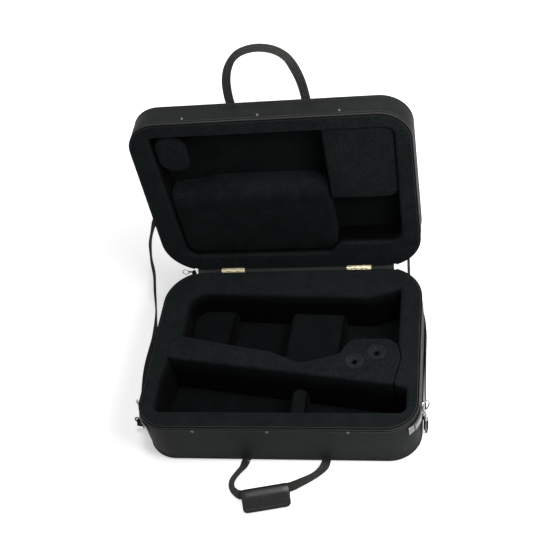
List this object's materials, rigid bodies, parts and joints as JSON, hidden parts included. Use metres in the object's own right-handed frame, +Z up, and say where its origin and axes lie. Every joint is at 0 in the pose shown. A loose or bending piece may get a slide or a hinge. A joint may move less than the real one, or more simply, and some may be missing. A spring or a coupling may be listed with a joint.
{
  "type": "double trumpet case",
  "caption": "Zip-closed case for two trumpets, open, with padded lid, slanting divider, mouthpiece sockets, webbing handles and a shoulder strap.",
  "frame": {"origin": "centre of the base's underside, on the floor", "axes": "+Z up, +X to the right along the front wall and the hinge line, +Y from the front wall to the hinges"},
  "size_m": [0.7291, 0.8831, 0.6815],
  "materials": {
    "plywood": "raw, hidden between cover and lining",
    "leatherette": "fine-grained black leatherette with a soft sheen",
    "piping": "smooth black piping",
    "zip_tape": "woven black tape",
    "zip_teeth": "black coil",
    "plush": "short black plush on foam",
    "socket_plastic": "black, moulded",
    "hinge_metal": "pale, satin",
    "rivet_metal": "nickelled",
    "webbing": "ribbed dark webbing",
    "grip_leather": "smooth dark leather",
    "nickel": "nickelled, polished"
  },
  "bodies": {
    "base": {"base_shell": "plywood", "base_side_cover": "leatherette", "base_bottom_cover": "leatherette", "base_piping": "piping", "base_zip_tape": "zip_tape", "base_zip_coil": "zip_teeth", "base_liner": "plush", "base_rivets": "rivet_metal", "base_hinge_screws": "hinge_metal", "divider": "plush", "mouthpiece_socket_front": "socket_plastic", "mouthpiece_socket_rear": "socket_plastic", "left_block": "plush", "middle_block": "plush", "small_post": "plush", "back_floor_pad": "plush", "front_floor_pad": "plush", "base_hinge_leaf_left": "hinge_metal", "base_hinge_leaf_right": "hinge_metal", "hinge_pin_left": "hinge_metal", "hinge_pin_right": "hinge_metal", "hinge_cloth": "zip_tape", "zip_end_strip": "zip_tape", "base_handle_feet": "webbing", "ring_tab_left": "grip_leather", "ring_tab_right": "grip_leather", "shoulder_strap": "webbing", "swivel_eye_left": "nickel", "swivel_eye_right": "nickel"},
    "lid": {"lid_shell": "plywood", "lid_side_cover": "leatherette", "lid_panel_cover": "leatherette", "lid_piping": "piping", "lid_zip_tape": "zip_tape", "lid_zip_coil": "zip_teeth", "lid_liner": "plush", "lid_floor_pad": "plush", "lid_corner_boss": "plush", "lid_large_pad": "plush", "lid_block": "plush", "lid_rivets": "rivet_metal", "lid_hinge_screws": "hinge_metal", "lid_hinge_leaf_left": "hinge_metal", "lid_hinge_leaf_right": "hinge_metal", "lid_handle_feet": "webbing"},
    "lid_handle": {"lid_handle": "webbing"},
    "base_handle": {"base_handle": "webbing", "grip_back": "grip_leather"},
    "grip_flap": {"grip_flap": "grip_leather"},
    "zip_slider": {"zip_slider": "nickel"},
    "zip_pull": {"zip_pull": "nickel"},
    "d_ring_left": {"d_ring_left": "nickel"},
    "d_ring_right": {"d_ring_right": "nickel"},
    "hook_left": {"snap_hook_left": "nickel"},
    "hook_right": {"snap_hook_right": "nickel"},
    "gate_left": {"hook_gate_left": "nickel"},
    "gate_right": {"hook_gate_right": "nickel"}
  },
  "joints": [
    {"name": "lid_hinge", "type": "hinge", "parent": "base", "child": "lid", "pos_m": [0, 0.215, 0.12], "axis": [1, 0, 0], "range_deg": [0, 90]},
    {"name": "lid_handle_swing", "type": "hinge", "parent": "lid", "child": "lid_handle", "pos_m": [0, 0.2816, 0.53], "axis": [-1, 0, 0], "range_deg": [0, 135]},
    {"name": "base_handle_swing", "type": "hinge", "parent": "base", "child": "base_handle", "pos_m": [0, -0.2185, 0.0015], "axis": [-1, 0, 0], "range_deg": [0, 40]},
    {"name": "grip_flap_fold", "type": "hinge", "parent": "base_handle", "child": "grip_flap", "pos_m": [-0.02204, -0.28411, 0.022], "axis": [-0.9781, -0.2079, 0], "range_deg": [0, 100]},
    {"name": "zip_slider_travel", "type": "hinge", "parent": "base", "child": "zip_slider", "pos_m": [-0.2, 0.125, 0.12], "axis": [0, 0, 1], "range_deg": [0, 66]},
    {"name": "zip_pull_swing", "type": "hinge", "parent": "zip_slider", "child": "zip_pull", "pos_m": [-0.23559, 0.21308, 0.12], "axis": [0, 0, 1], "range_deg": [-45, 18]},
    {"name": "d_ring_left_swing", "type": "hinge", "parent": "base", "child": "d_ring_left", "pos_m": [-0.2947, -0.143, 0.086], "axis": [0, 0, 1], "range_deg": [-6, 6]},
    {"name": "hook_left_swivel", "type": "hinge", "parent": "base", "child": "hook_left", "pos_m": [-0.29824, -0.13946, 0.071], "axis": [0.2496, 0, 0.9684], "range_deg": [-10, 10]},
    {"name": "hook_gate_left_press", "type": "hinge", "parent": "hook_left", "child": "gate_left", "pos_m": [-0.30527, -0.14435, 0.05464], "axis": [-0.8452, 0.488, 0.2178], "range_deg": [0, 22]},
    {"name": "d_ring_right_swing", "type": "hinge", "parent": "base", "child": "d_ring_right", "pos_m": [0.2947, -0.143, 0.086], "axis": [0, 0, 1], "range_deg": [-6, 6]},
    {"name": "hook_right_swivel", "type": "hinge", "parent": "base", "child": "hook_right", "pos_m": [0.29824, -0.13946, 0.071], "axis": [-0.02, 0, 0.9998], "range_deg": [-10, 10]},
    {"name": "hook_gate_right_press", "type": "hinge", "parent": "hook_right", "child": "gate_right", "pos_m": [0.30139, -0.14431, 0.05346], "axis": [-0.8659, -0.4999, -0.0173], "range_deg": [0, 22]}
  ]
}
